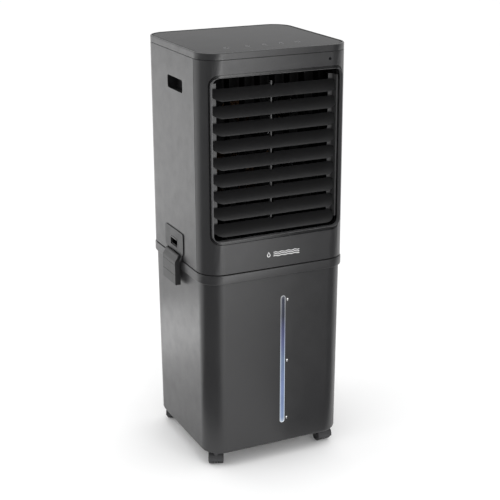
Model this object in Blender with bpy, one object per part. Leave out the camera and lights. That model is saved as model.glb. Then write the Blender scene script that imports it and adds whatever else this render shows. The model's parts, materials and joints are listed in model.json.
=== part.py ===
"""Tower evaporative cooler: water tank on castors, upper unit with fan, pad and louvres.

Metres, +Z up, front towards -Y. The origin is on the floor below the middle of the cooler.
"""

import math

import bmesh
import bpy
from mathutils import Matrix, Vector

# ---------------------------------------------------------------- driving dimensions
WIDTH = 0.440
DEPTH = 0.420
HEIGHT = 1.200
CORNER_R = 0.060
WALL = 0.003
GAP = 0.0003
CORNER_STEPS = 6

TANK_BOTTOM = 0.048
COVER_PROUD = 0.002
JOINT_Z = 0.594
JOINT_GAP = 0.003
CAP_SEAM_Z = 1.1815
SEAM = 0.001
BEZEL_REAR_Y = -DEPTH / 2 + CORNER_R

OUTLET_HALF_W = 0.1985
OUTLET_LOW_Z = 0.680
OUTLET_HIGH_Z = 1.143
OUTLET_R = 0.026
DUCT_HALF_W = 0.194
DUCT_LOW_Z = 0.688
DUCT_HIGH_Z = 1.136
DUCT_REAR_Y = -0.095

SLAT_COUNT = 9
SLAT_PITCH = 0.0465
SLAT_TOP_PIVOT_Z = 1.0950
SLAT_PIVOT_Y = -0.1700
SLAT_TILT = math.radians(35)
SLAT_HALF_W = 0.186
SLAT_FRONT = 0.039
SLAT_REAR = 0.006
SLAT_THICK = 0.0024
SLAT_CRANK = 0.013
SLAT_LINK_X = 0.001

VANE_COUNT = 8
VANE_PITCH = 0.045
VANE_PIVOT_Y = -0.135
VANE_LOW_Z = 0.702
VANE_HIGH_Z = 1.126
VANE_THICK = 0.002
VANE_CRANK = 0.014

FAN_Z = 0.910
FAN_TIP_R = 0.165
FAN_MID_Y = -0.064
SHROUD_R = 0.172
MOTOR_R = 0.042

LATCH_Y = 0.0085
LATCH_PIVOT_X = WIDTH / 2 + 0.0062
LATCH_PIVOT_Z = 0.603
LATCH_CRANK = 0.009
LEVER_HALF_W = 0.0465
LEVER_LOW_Z = 0.521
LEVER_GROOVE_Z = (0.550, 0.581)
LEVER_BARREL_R = 0.0058
LEVER_PROUD = 0.0138
LEVER_WALL = 0.0025

GRIP_Y = -0.018
GRIP_SIZE = (0.106, 0.035)
GRIP_Z = 1.0935

HOSE_X = 0.1985
HOSE_Y = 0.106
HOSE_R = 0.0065

CASTOR_X = 0.176
CASTOR_Y = 0.164
WHEEL_R = 0.0195
WHEEL_HALF_W = 0.0215
WHEEL_STEPS = 20
CASTOR_TRAIL = 0.010
CASTOR_TURNS = {"fl": -24.0, "fr": 3.0, "rl": -35.0, "rr": 14.0}

WINDOW_X = 0.018
WINDOW_HALF_W = 0.0075
WINDOW_LOW_Z = 0.110
WINDOW_HIGH_Z = 0.505

# ---------------------------------------------------------------- materials
COLOURS = {
    "anthracite_abs": ((0.055, 0.057, 0.060), 0.42, 0.0),
    "black_abs": ((0.012, 0.012, 0.013), 0.50, 0.0),
    "gloss_panel": ((0.010, 0.010, 0.012), 0.12, 0.0),
    "clear_window": ((0.25, 0.42, 0.80), 0.15, 0.0),
    "cellulose_pad": ((0.30, 0.19, 0.10), 0.90, 0.0),
    "filter_mesh": ((0.04, 0.04, 0.04), 0.80, 0.0),
    "steel": ((0.55, 0.55, 0.56), 0.35, 1.0),
    "castor_nylon": ((0.03, 0.03, 0.033), 0.55, 0.0),
    "pvc_hose": ((0.75, 0.78, 0.80), 0.30, 0.0),
    "circuit_board": ((0.02, 0.12, 0.05), 0.60, 0.0),
}


def material(name):
    """The Principled material of that name, made once."""
    found = bpy.data.materials.get(name)
    if found:
        return found
    colour, roughness, metallic = COLOURS[name]
    made = bpy.data.materials.new(name)
    made.use_nodes = True
    shader = made.node_tree.nodes["Principled BSDF"]
    shader.inputs["Base Color"].default_value = (*colour, 1.0)
    shader.inputs["Roughness"].default_value = roughness
    shader.inputs["Metallic"].default_value = metallic
    return made


# ---------------------------------------------------------------- mesh helpers
def clear_scene():
    for obj in list(bpy.data.objects):
        bpy.data.objects.remove(obj, do_unlink=True)


def place(axis, u, v, w):
    """A point from its two outline coordinates u, v and its height w along the axis."""
    if axis == "Z":
        return Vector((u, v, w))
    if axis == "Y":
        return Vector((u, w, v))
    return Vector((w, u, v))


def prism(outline, low, high, axis="Z"):
    """A bmesh of the closed outline extruded from low to high along the axis."""
    bm = bmesh.new()
    add_prism(bm, outline, low, high, axis)
    return bm


def add_prism(bm, outline, low, high, axis="Z"):
    base = [bm.verts.new(place(axis, u, v, low)) for u, v in outline]
    top = [bm.verts.new(place(axis, u, v, high)) for u, v in outline]
    bm.faces.new(base)
    bm.faces.new(top)
    count = len(outline)
    for i in range(count):
        j = (i + 1) % count
        bm.faces.new((base[i], base[j], top[j], top[i]))


def add_box(bm, low, high):
    outline = [(low[0], low[1]), (high[0], low[1]), (high[0], high[1]), (low[0], high[1])]
    add_prism(bm, outline, low[2], high[2])


def box(low, high):
    bm = bmesh.new()
    add_box(bm, low, high)
    return bm


def ring_prism(outer, inner, low, high, axis="Z"):
    """A tube with an outer and an inner outline of the same point count."""
    bm = bmesh.new()
    rings = []
    for outline, w in ((outer, low), (outer, high), (inner, high), (inner, low)):
        rings.append([bm.verts.new(place(axis, u, v, w)) for u, v in outline])
    close_rings(bm, rings)
    return bm


def close_rings(bm, rings):
    """Join each ring to the next, and the last to the first."""
    count = len(rings[0])
    for a, b in zip(rings, rings[1:] + rings[:1]):
        for i in range(count):
            j = (i + 1) % count
            bm.faces.new((a[i], a[j], b[j], b[i]))


def stack(rings_points):
    """A solid from a stack of rings of points, with the two ends capped."""
    bm = bmesh.new()
    rings = [[bm.verts.new(p) for p in ring] for ring in rings_points]
    count = len(rings[0])
    for a, b in zip(rings, rings[1:]):
        for i in range(count):
            j = (i + 1) % count
            bm.faces.new((a[i], a[j], b[j], b[i]))
    bm.faces.new(rings[0])
    bm.faces.new(rings[-1])
    return bm


def lathe(profile, steps, axis="Z"):
    """Turn (radius, height) points round the axis; both end points lie on the axis."""
    bm = bmesh.new()
    add_lathe(bm, profile, steps, axis)
    return bm


def add_lathe(bm, profile, steps, axis="Z", centre=(0.0, 0.0)):
    rings = []
    for radius, height in profile[1:-1]:
        ring = []
        for i in range(steps):
            angle = math.tau * (i + 0.5) / steps
            u = centre[0] + radius * math.cos(angle)
            v = centre[1] + radius * math.sin(angle)
            ring.append(bm.verts.new(place(axis, u, v, height)))
        rings.append(ring)
    for a, b in zip(rings, rings[1:]):
        for i in range(steps):
            j = (i + 1) % steps
            bm.faces.new((a[i], a[j], b[j], b[i]))
    for ring, end in ((rings[0], profile[0]), (rings[-1], profile[-1])):
        bm.faces.new(ring)
    return rings


def add_cylinder(bm, radius, low, high, axis, centre, steps=12):
    add_lathe(bm, [(0, low), (radius, low), (radius, high), (0, high)], steps, axis, centre)


def cylinder(radius, low, high, axis="Z", centre=(0.0, 0.0), steps=24):
    bm = bmesh.new()
    add_cylinder(bm, radius, low, high, axis, centre, steps)
    return bm


def rounded(half_w, half_d, radius, steps=CORNER_STEPS, centre=(0.0, 0.0)):
    """A rectangle with round corners, counter-clockwise from the lower right corner."""
    points = []
    corners = ((1, -1, -90), (1, 1, 0), (-1, 1, 90), (-1, -1, 180))
    for sx, sy, start in corners:
        for i in range(steps + 1):
            angle = math.radians(start + 90 * i / steps)
            x = sx * (half_w - radius) + radius * math.cos(angle)
            y = sy * (half_d - radius) + radius * math.sin(angle)
            points.append((centre[0] + x, centre[1] + y))
    return points


def body_outline(inset=0.0, steps=CORNER_STEPS):
    """The plan of the upper housing, moved in by an inset."""
    return rounded(WIDTH / 2 - inset, DEPTH / 2 - inset, CORNER_R - inset, steps)


def outlet_outline(half_w, low_z, high_z, radius):
    centre = (0.0, (low_z + high_z) / 2)
    return rounded(half_w, (high_z - low_z) / 2, radius, 4, centre)


def obround(half_w, low, high, centre, steps=4):
    """A slot with half-round ends, upright."""
    points = []
    for middle, start in ((low + half_w, 180), (high - half_w, 0)):
        for i in range(2 * steps + 1):
            angle = math.radians(start + 90 * i / steps)
            points.append((centre + half_w * math.cos(angle), middle + half_w * math.sin(angle)))
    return points


# ---------------------------------------------------------------- object helpers
def finish(bm, smooth_angle=40):
    bmesh.ops.recalc_face_normals(bm, faces=bm.faces)
    mesh = bpy.data.meshes.new("shape")
    bm.to_mesh(mesh)
    bm.free()
    mesh.shade_smooth()
    mesh.set_sharp_from_angle(angle=math.radians(smooth_angle))
    return mesh


def part(name, bm, material_name, at=(0, 0, 0), turn=(0, 0, 0)):
    """A named sub-part, from a bmesh or from a mesh that another one already has."""
    mesh = bm if isinstance(bm, bpy.types.Mesh) else finish(bm)
    obj = bpy.data.objects.new(name, mesh)
    if not mesh.materials:
        mesh.materials.append(material(material_name))
    obj.location = at
    obj.rotation_euler = turn
    bpy.context.scene.collection.objects.link(obj)
    return obj


def tool(bm, at=(0, 0, 0), turn=(0, 0, 0)):
    """A hidden body that cuts or adds to a sub-part."""
    obj = part("tool", bm, "steel", at, turn)
    obj.hide_render = True
    obj.display_type = "WIRE"
    return obj


def combine(obj, bm, operation):
    made = obj.modifiers.new(operation.lower(), "BOOLEAN")
    made.operation = operation
    made.solver = "EXACT"
    made.object = tool(bm, tuple(obj.location), tuple(obj.rotation_euler))


def cut(obj, bm):
    combine(obj, bm, "DIFFERENCE")


def join(obj, bm):
    combine(obj, bm, "UNION")


def keep(obj, bm):
    combine(obj, bm, "INTERSECT")


def mirror_x(bm):
    """The same shape on the other side of the cooler."""
    bmesh.ops.transform(bm, matrix=Matrix.Scale(-1, 4, (1, 0, 0)), verts=bm.verts)
    return bm


# ---------------------------------------------------------------- upper housing
UPPER_LOW_Z = JOINT_Z + JOINT_GAP / 2
UPPER_HIGH_Z = CAP_SEAM_Z - SEAM / 2


def front_bezel():
    """The front cover, wrapped round both front corners, with the air outlet cut through."""
    bm = ring_prism(body_outline(), body_outline(WALL), UPPER_LOW_Z, UPPER_HIGH_Z)
    obj = part("front_bezel", bm, "anthracite_abs")
    keep(obj, box((-WIDTH, -DEPTH, 0), (WIDTH, BEZEL_REAR_Y - SEAM / 2, HEIGHT)))
    hole = outlet_outline(OUTLET_HALF_W, OUTLET_LOW_Z, OUTLET_HIGH_Z, OUTLET_R)
    cut(obj, prism(hole, -DEPTH, -DEPTH / 4, "Y"))
    cut(obj, cylinder(0.0042, -DEPTH, -DEPTH / 4, "Y", (0.153, 1.1625), 12))


GRILLE_HALF_W = 0.150
GRILLE_LOW_Z = 0.640
GRILLE_HIGH_Z = 1.125
GLAND_X = -0.125
GLAND_Z = 0.625
GLAND_R = 0.0075
TOOTH_Z = (0.6425, 0.6490)
TOOTH_HALF_W = 0.0235
TOOTH_DEPTH = 0.0040
RECESS_Z = (0.6265, 0.6415)


def latch_tooth():
    """The hook on the left side that the latch strap pulls down on, over a moulding hole."""
    side = -WIDTH / 2
    low, high = TOOTH_Z
    outline = [(side + 0.001, low), (side - 0.0015, low), (side - TOOTH_DEPTH, high - 0.0035),
               (side - TOOTH_DEPTH, high), (side + 0.001, high)]
    return prism(outline, LATCH_Y - TOOTH_HALF_W, LATCH_Y + TOOTH_HALF_W, "Y")


def housing_shell():
    """Sides and back in one U, with the grips, the rear opening and the latch teeth."""
    bm = ring_prism(body_outline(), body_outline(WALL), UPPER_LOW_Z, UPPER_HIGH_Z)
    obj = part("housing_shell", bm, "anthracite_abs")
    keep(obj, box((-WIDTH, BEZEL_REAR_Y + SEAM / 2, 0), (WIDTH, DEPTH, HEIGHT)))
    grip = rounded(GRIP_SIZE[0] / 2, GRIP_SIZE[1] / 2, 0.006, 3, (GRIP_Y, GRIP_Z))
    cut(obj, prism(grip, -WIDTH, WIDTH, "X"))
    centre = (0.0, (GRILLE_LOW_Z + GRILLE_HIGH_Z) / 2)
    rear = rounded(GRILLE_HALF_W, (GRILLE_HIGH_Z - GRILLE_LOW_Z) / 2, 0.012, 3, centre)
    cut(obj, prism(rear, DEPTH / 4, DEPTH, "Y"))
    cut(obj, cylinder(GLAND_R, DEPTH / 4, DEPTH, "Y", (GLAND_X, GLAND_Z), 12))
    join(obj, latch_tooth())
    join(obj, mirror_x(latch_tooth()))
    cut(obj, box((-WIDTH, LATCH_Y - TOOTH_HALF_W, RECESS_Z[0]), (WIDTH, LATCH_Y + TOOTH_HALF_W, RECESS_Z[1])))


def grip_cups():
    """The blind pockets behind the two carrying slots."""
    inside = WIDTH / 2 - WALL - GAP
    for side, name in ((-1, "grip_cup_left"), (1, "grip_cup_right")):
        outer = rounded(GRIP_SIZE[0] / 2 + 0.006, GRIP_SIZE[1] / 2 + 0.006, 0.008, 3, (GRIP_Y, GRIP_Z))
        obj = part(name, prism(outer, side * inside, side * (inside - 0.030), "X"), "black_abs")
        pocket = rounded(GRIP_SIZE[0] / 2 + 0.003, GRIP_SIZE[1] / 2 + 0.003, 0.006, 3, (GRIP_Y, GRIP_Z))
        cut(obj, prism(pocket, side * WIDTH, side * (inside - 0.0275), "X"))


def top_cap():
    """The lid of the tower: a tray with a thin raised lip round a sunken panel."""
    rings = [
        [Vector((x, y, CAP_SEAM_Z + SEAM / 2)) for x, y in body_outline(0.0003)],
        [Vector((x, y, HEIGHT - 0.0018)) for x, y in body_outline()],
        [Vector((x, y, HEIGHT)) for x, y in body_outline(0.0015)],
    ]
    obj = part("top_cap", stack(rings), "anthracite_abs")
    cut(obj, prism(body_outline(0.0045), HEIGHT - 0.0030, HEIGHT + 0.01))
    cut(obj, prism(body_outline(WALL), 0, HEIGHT - 0.0060))


def control_glass():
    """The gloss panel with the touch fields, lying in the lid's tray."""
    bm = prism(body_outline(0.0050), HEIGHT - 0.0030 + GAP, HEIGHT - 0.0008)
    part("control_glass", bm, "gloss_panel")


def control_board():
    part("control_board", box((-0.150, -0.170, 1.166), (0.150, -0.070, 1.1745)), "circuit_board")


def ir_receiver():
    bm = cylinder(0.0038, -DEPTH / 2 - 0.0002, -DEPTH / 2 + 0.006, "Y", (0.153, 1.1625), 12)
    part("ir_receiver", bm, "gloss_panel")


def chassis_floor():
    """The pan under the upper unit, standing on the tank cover on a set-in foot ring."""
    outer = body_outline(WALL + GAP)
    inner = rounded(0.165, 0.150, 0.030)
    obj = part("chassis_floor", ring_prism(outer, inner, 0.5965, 0.6015), "black_abs")
    foot_out = body_outline(0.012, 3)
    foot_in = body_outline(0.018, 3)
    join(obj, ring_prism(foot_out, foot_in, JOINT_Z - JOINT_GAP / 2 + GAP, 0.5985))
    cut(obj, cylinder(HOSE_R + 0.002, 0.5, 0.7, "Z", (HOSE_X, HOSE_Y)))


# ---------------------------------------------------------------- air outlet
def outlet_frame():
    """The duct behind the outlet, its front edge following the wrapped cover."""
    outer = outlet_outline(OUTLET_HALF_W - 0.0005, OUTLET_LOW_Z + 0.0005,
                           OUTLET_HIGH_Z - 0.0005, OUTLET_R - 0.0005)
    inner = outlet_outline(DUCT_HALF_W, DUCT_LOW_Z, DUCT_HIGH_Z, OUTLET_R - 0.004)
    obj = part("outlet_frame", ring_prism(outer, inner, -DEPTH / 2, DUCT_REAR_Y, "Y"), "black_abs")
    keep(obj, prism(body_outline(0.0015), 0, HEIGHT))
    holes = bmesh.new()
    for x in vane_places():
        add_cylinder(holes, 0.0021, DUCT_LOW_Z - 0.006, DUCT_HIGH_Z + 0.0045, "Z", (x, VANE_PIVOT_Y), 8)
    cut(obj, holes)


def louvre_rails():
    """The upright angles that carry the ends of the slats."""
    low, high = DUCT_LOW_Z + 0.0235, DUCT_HIGH_Z - 0.0235
    for side, inner, name in ((-1, 0.1600, "louvre_rail_left"), (1, 0.1760, "louvre_rail_right")):
        plan = [(0.1885, -0.1835), (0.1930, -0.1835), (0.1930, -0.1560), (inner, -0.1560),
                (inner, -0.1590), (0.1885, -0.1590)]
        obj = part(name, prism([(side * x, y) for x, y in plan], low, high), "black_abs")
        holes = bmesh.new()
        for z in slat_places():
            add_cylinder(holes, 0.0021, side * 0.180, side * 0.1915, "X", (SLAT_PIVOT_Y, z), 8)
        cut(obj, holes)


def slat_places():
    return [SLAT_TOP_PIVOT_Z - SLAT_PITCH * i for i in range(SLAT_COUNT)]


def vane_places():
    return [VANE_PITCH * (i - (VANE_COUNT - 1) / 2) for i in range(VANE_COUNT)]


def slat_mesh():
    """One slat, flat, with -Y to its front edge and its pivot line on X.

    The front corners are large arcs; the rear edge has the crank tab with its pin.
    """
    pin = 0.0012
    arc_r = 0.032
    points = [(SLAT_HALF_W, SLAT_REAR), (SLAT_HALF_W, pin), (0.1908, pin), (0.1908, -pin), (SLAT_HALF_W, -pin)]
    for i in range(9):
        angle = math.radians(90 * i / 8)
        x = SLAT_HALF_W - arc_r + arc_r * math.cos(angle)
        y = -(SLAT_FRONT - arc_r) - arc_r * math.sin(angle)
        points.append((x, y))
    left = [(-x, y) for x, y in reversed(points)]
    tab = [(SLAT_LINK_X - 0.0070, SLAT_REAR), (SLAT_LINK_X - 0.0070, SLAT_CRANK + pin),
           (SLAT_LINK_X + 0.0024, SLAT_CRANK + pin), (SLAT_LINK_X + 0.0024, SLAT_CRANK - pin),
           (SLAT_LINK_X - 0.0040, SLAT_CRANK - pin), (SLAT_LINK_X - 0.0040, 0.001),
           (SLAT_LINK_X + 0.0050, 0.001), (SLAT_LINK_X + 0.0050, SLAT_REAR)]
    outline = points + left + tab
    bm = prism(outline, -SLAT_THICK / 2, SLAT_THICK / 2)
    return finish(bm)


def slats():
    mesh = slat_mesh()
    for i, z in enumerate(slat_places()):
        part(f"slat_{i + 1}", mesh, "black_abs", (0, SLAT_PIVOT_Y, z), (SLAT_TILT, 0, 0))


def slat_link():
    """The upright bar that turns all slats together, bored for their crank pins."""
    y = SLAT_PIVOT_Y + SLAT_CRANK * math.cos(SLAT_TILT)
    rise = SLAT_CRANK * math.sin(SLAT_TILT)
    top = SLAT_TOP_PIVOT_Z + rise
    bottom = top - SLAT_PITCH * (SLAT_COUNT - 1)
    bm = box((SLAT_LINK_X - 0.0020, -0.0024, bottom - top - 0.006), (SLAT_LINK_X + 0.0020, 0.0024, 0.006))
    obj = part("slat_link", bm, "black_abs", (0, y, top))
    holes = bmesh.new()
    for i in range(SLAT_COUNT):
        add_cylinder(holes, 0.0019, SLAT_LINK_X - 0.01, SLAT_LINK_X + 0.01, "X", (0, -SLAT_PITCH * i), 8)
    cut(obj, holes)


def vane_mesh():
    """One upright guide vane about its pivot line, with pins above and below."""
    pin = 0.0012
    height = VANE_HIGH_Z - VANE_LOW_Z
    outline = [(-0.006, 0), (-pin, 0), (-pin, -0.0165), (pin, -0.0165), (pin, 0),
               (VANE_CRANK - pin, 0), (VANE_CRANK - pin, -0.0060), (VANE_CRANK + pin, -0.0060),
               (VANE_CRANK + pin, 0), (0.030, 0), (0.030, height), (pin, height),
               (pin, height + 0.0120), (-pin, height + 0.0120), (-pin, height), (-0.006, height)]
    return finish(prism(outline, -VANE_THICK / 2, VANE_THICK / 2, "X"))


def vanes():
    mesh = vane_mesh()
    for i, x in enumerate(vane_places()):
        part(f"vane_{i + 1}", mesh, "black_abs", (x, VANE_PIVOT_Y, VANE_LOW_Z))


def vane_link():
    """The bar under the vanes that swings them together."""
    reach = vane_places()[-1]
    y = VANE_PIVOT_Y + VANE_CRANK
    bm = box((-0.005, -0.0035, -0.0050), (2 * reach + 0.005, 0.0035, -0.0010))
    obj = part("vane_link", bm, "black_abs", (-reach, y, VANE_LOW_Z))
    holes = bmesh.new()
    for i in range(VANE_COUNT):
        add_cylinder(holes, 0.0019, -0.02, 0.02, "Z", (VANE_PITCH * i, 0), 8)
    cut(obj, holes)


# ---------------------------------------------------------------- fan
def fan_shroud():
    """The partition with the fan ring."""
    outline = outlet_outline(0.1965, 0.684, 1.139, 0.020)
    obj = part("fan_shroud", prism(outline, -0.0945, -0.0920, "Y"), "black_abs")
    join(obj, cylinder(SHROUD_R + 0.0025, -0.0935, -0.0300, "Y", (0, FAN_Z), 32))
    cut(obj, cylinder(SHROUD_R, -0.2, 0.1, "Y", (0, FAN_Z), 32))


def fan_blade(turn, shape):
    """One twisted blade, as rings of four points from the hub out to the tip."""
    rings = []
    steps = 4
    for i in range(steps + 1):
        share = i / steps
        radius = 0.030 + (FAN_TIP_R - 0.030) * share
        sweep = 0.25 * share
        half = math.radians(25 - 5 * share)
        rise = 0.016 - 0.005 * share
        ring = []
        for side, lift in ((-1, 0), (1, 0), (1, 1), (-1, 1)):
            angle = turn + sweep + side * half
            y = side * rise + lift * 0.0024 - 0.0012
            ring.append(Vector((radius * math.cos(angle), y, radius * math.sin(angle))))
        rings.append(ring)
    verts = [[shape.verts.new(p) for p in ring] for ring in rings]
    for a, b in zip(verts, verts[1:]):
        for k in range(4):
            n = (k + 1) % 4
            shape.faces.new((a[k], a[n], b[n], b[k]))
    shape.faces.new(verts[0])
    shape.faces.new(verts[-1])


def fan_wheel():
    """Five blades on a domed hub with its shaft, turning on Y."""
    hub = [(0, -0.024), (0.018, -0.024), (0.034, -0.015), (0.036, 0.019), (0.005, 0.019),
           (0.005, 0.032), (0, 0.032)]
    obj = part("fan_wheel", lathe(hub, 20, "Y"), "black_abs", (0, FAN_MID_Y, FAN_Z))
    blades = bmesh.new()
    for i in range(5):
        fan_blade(math.tau * i / 5, blades)
    join(obj, blades)


def fan_motor():
    """The motor can behind the wheel, with a socket for the shaft."""
    front = FAN_MID_Y + 0.0225
    profile = [(0, front), (0.014, front), (0.016, front + 0.006), (MOTOR_R - 0.004, front + 0.008),
               (MOTOR_R, front + 0.013), (MOTOR_R, 0.026), (MOTOR_R - 0.005, 0.030), (0, 0.030)]
    bm = bmesh.new()
    add_lathe(bm, profile, 20, "Y", (0, FAN_Z))
    obj = part("fan_motor", bm, "steel")
    cut(obj, cylinder(0.0056, -0.1, FAN_MID_Y + 0.034, "Y", (0, FAN_Z), 16))


def motor_bracket():
    """The flat cross bar behind the motor, flanged to both housing sides."""
    inside = WIDTH / 2 - WALL - GAP
    plan = [(-inside, 0.0303), (inside, 0.0303), (inside, 0.0500), (inside - 0.003, 0.0500),
            (inside - 0.003, 0.0333), (-inside + 0.003, 0.0333), (-inside + 0.003, 0.0500),
            (-inside, 0.0500)]
    part("motor_bracket", prism(plan, FAN_Z - 0.022, FAN_Z + 0.022), "steel")


# ---------------------------------------------------------------- cooling side
def rear_grille():
    """The lift-out intake grille with rows of slots."""
    clear = 0.0006
    low, high = GRILLE_LOW_Z + clear, GRILLE_HIGH_Z - clear
    outline = rounded(GRILLE_HALF_W - clear, (high - low) / 2, 0.0114, 3, (0.0, (low + high) / 2))
    obj = part("rear_grille", prism(outline, DEPTH / 2 - 0.0035, DEPTH / 2, "Y"), "black_abs")
    slots = bmesh.new()
    rows, columns = 13, 3
    for row in range(rows):
        z = low + 0.030 + (high - low - 0.060) * row / (rows - 1)
        for column in range(columns):
            x = 0.094 * (column - 1)
            add_box(slots, (x - 0.043, 0.19, z - 0.0105), (x + 0.043, 0.23, z + 0.0105))
    cut(obj, slots)


def dust_filter():
    part("dust_filter", box((-0.155, 0.1960, 0.634), (0.155, 0.2010, 1.131)), "filter_mesh")


def cooling_pad():
    part("cooling_pad", box((-0.1750, 0.1350, 0.6400), (0.1750, 0.1800, 1.0900)), "cellulose_pad")


def pad_frame():
    """The frame that holds the pad, open to front and back."""
    outer = [(-0.1800, 0.6340), (0.1800, 0.6340), (0.1800, 1.0960), (-0.1800, 1.0960)]
    inner = [(-0.1755, 0.6395), (0.1755, 0.6395), (0.1755, 1.0905), (-0.1755, 1.0905)]
    part("pad_frame", ring_prism(outer, inner, 0.1300, 0.1850, "Y"), "black_abs")


def distribution_tray():
    """The trough above the pad, with a row of drip holes in its floor."""
    obj = part("distribution_tray", box((-0.178, 0.132, 1.0965), (0.178, 0.183, 1.1250)), "black_abs")
    cut(obj, box((-0.1755, 0.1345, 1.0990), (0.1755, 0.1805, 1.2)))
    drips = bmesh.new()
    for i in range(12):
        x = 0.028 * (i - 5.5)
        add_box(drips, (x - 0.002, 0.1555, 1.09), (x + 0.002, 0.1595, 1.11))
    cut(obj, drips)


PUMP_X = 0.110
PUMP_Y = 0.120
PUMP_LOW_Z = TANK_BOTTOM + 0.0045


def pump():
    """The submersible pump on the tank floor, with its outlet stub on top."""
    outline = rounded(0.030, 0.024, 0.008, 4, (PUMP_X, PUMP_Y))
    obj = part("pump", prism(outline, PUMP_LOW_Z, PUMP_LOW_Z + 0.060), "black_abs")
    join(obj, cylinder(HOSE_R, PUMP_LOW_Z + 0.055, PUMP_LOW_Z + 0.070, "Z", (PUMP_X, PUMP_Y), 16))


def hose_route():
    """Points on a smooth curve through the hose's guide points."""
    start = PUMP_LOW_Z + 0.0712
    knots = [(PUMP_X, PUMP_Y, start), (PUMP_X, PUMP_Y, start + 0.06), (0.150, 0.115, 0.330),
             (0.190, 0.108, 0.450), (HOSE_X, HOSE_Y, 0.560), (HOSE_X, HOSE_Y, 0.820),
             (HOSE_X, HOSE_Y, 1.000), (0.1970, 0.112, 1.090), (0.1850, 0.130, 1.133),
             (0.1600, 0.150, 1.142), (0.1350, 0.1575, 1.142)]
    knots = [Vector(k) for k in knots]
    ends = [2 * knots[0] - knots[1]] + knots + [2 * knots[-1] - knots[-2]]
    points = []
    for a, b, c, d in zip(ends, ends[1:], ends[2:], ends[3:]):
        steps = max(2, round((c - b).length / 0.045))
        for i in range(steps):
            t = i / steps
            points.append(0.5 * (2 * b + (c - a) * t + (2 * a - 5 * b + 4 * c - d) * t ** 2
                                 + (3 * b - a - 3 * c + d) * t ** 3))
    points.append(knots[-1])
    return points


def riser_hose():
    """The hose from the pump to the trough over the pad."""
    curve = bpy.data.curves.new("riser_hose", "CURVE")
    curve.dimensions = "3D"
    curve.bevel_depth = HOSE_R
    curve.bevel_resolution = 2
    curve.use_fill_caps = True
    spline = curve.splines.new("POLY")
    points = hose_route()
    spline.points.add(len(points) - 1)
    for target, point in zip(spline.points, points):
        target.co = (*point, 1.0)
    obj = bpy.data.objects.new("riser_hose", curve)
    curve.materials.append(material("pvc_hose"))
    bpy.context.scene.collection.objects.link(obj)


def cord_gland():
    """The mains lead's gland in the back, below the grille."""
    profile = [(0, DEPTH / 2 - 0.014), (GLAND_R - 0.0006, DEPTH / 2 - 0.014),
               (GLAND_R - 0.0006, DEPTH / 2 + GAP), (0.0110, DEPTH / 2 + GAP),
               (0.0100, DEPTH / 2 + COVER_PROUD), (0, DEPTH / 2 + COVER_PROUD)]
    bm = bmesh.new()
    add_lathe(bm, profile, 16, "Y", (GLAND_X, GLAND_Z))
    part("cord_gland", bm, "black_abs")


# ---------------------------------------------------------------- tank
TANK_TOP_Z = 0.5865
TANK_HALF_W = WIDTH / 2 - 0.0035
TANK_HALF_D = DEPTH / 2 - 0.0035
TANK_TAPER = 0.0035
TANK_WALL = 0.0035
DRAIN_X = -0.120
DRAIN_Z = 0.085
DRAIN_R = 0.011


def tank_ring(z, inset):
    """The tank's plan at a height, narrower towards the floor."""
    drop = TANK_TAPER * (TANK_TOP_Z - z) / (TANK_TOP_Z - TANK_BOTTOM)
    outline = rounded(TANK_HALF_W - drop - inset, TANK_HALF_D - drop - inset, CORNER_R - 0.002 - inset)
    return [Vector((x, y, z)) for x, y in outline]


def castor_places():
    return {"fl": (-CASTOR_X, -CASTOR_Y), "fr": (CASTOR_X, -CASTOR_Y),
            "rl": (-CASTOR_X, CASTOR_Y), "rr": (CASTOR_X, CASTOR_Y)}


def tank():
    """The water tank: a tapered tub with castor sockets, drain and window slot."""
    outside = [tank_ring(TANK_BOTTOM, 0.006), tank_ring(TANK_BOTTOM + 0.0015, 0.002),
               tank_ring(TANK_BOTTOM + 0.006, 0.0), tank_ring(TANK_TOP_Z, 0.0)]
    obj = part("tank", stack(outside), "anthracite_abs")
    floor_z = TANK_BOTTOM + 0.004
    inside = [tank_ring(floor_z, TANK_WALL + 0.004), tank_ring(floor_z + 0.005, TANK_WALL),
              tank_ring(TANK_TOP_Z + 0.02, TANK_WALL)]
    cut(obj, stack(inside))
    sockets = bmesh.new()
    bores = bmesh.new()
    for x, y in castor_places().values():
        add_cylinder(sockets, 0.0110, TANK_BOTTOM + 0.001, TANK_BOTTOM + 0.022, "Z", (x, y), 16)
        add_cylinder(bores, 0.0054, 0.0, TANK_BOTTOM + 0.018, "Z", (x, y), 12)
    join(obj, sockets)
    cut(obj, bores)
    slot = obround(WINDOW_HALF_W, WINDOW_LOW_Z, WINDOW_HIGH_Z, WINDOW_X)
    cut(obj, prism(slot, -DEPTH, -DEPTH / 4, "Y"))
    cut(obj, cylinder(DRAIN_R, DEPTH / 4, DEPTH, "Y", (DRAIN_X, DRAIN_Z), 16))


def level_window():
    """The clear gauge strip that closes the slot in the tank's front."""
    slot = obround(WINDOW_HALF_W - 0.0004, WINDOW_LOW_Z + 0.0004, WINDOW_HIGH_Z - 0.0004, WINDOW_X)
    front = -TANK_HALF_D + 0.0008
    obj = part("level_window", prism(slot, front - 0.004, front + 0.0060, "Y"), "clear_window")
    rings = [tank_ring(TANK_BOTTOM, 0.0002), tank_ring(TANK_TOP_Z, 0.0002)]
    keep(obj, stack(rings))


def level_light():
    """The light bar in the tank behind the gauge strip."""
    y = -TANK_HALF_D + 0.0095
    low, high = WINDOW_LOW_Z + 0.01, WINDOW_HIGH_Z - 0.01
    part("level_light", box((WINDOW_X - 0.005, y, low), (WINDOW_X + 0.005, y + 0.004, high)), "circuit_board")


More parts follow.
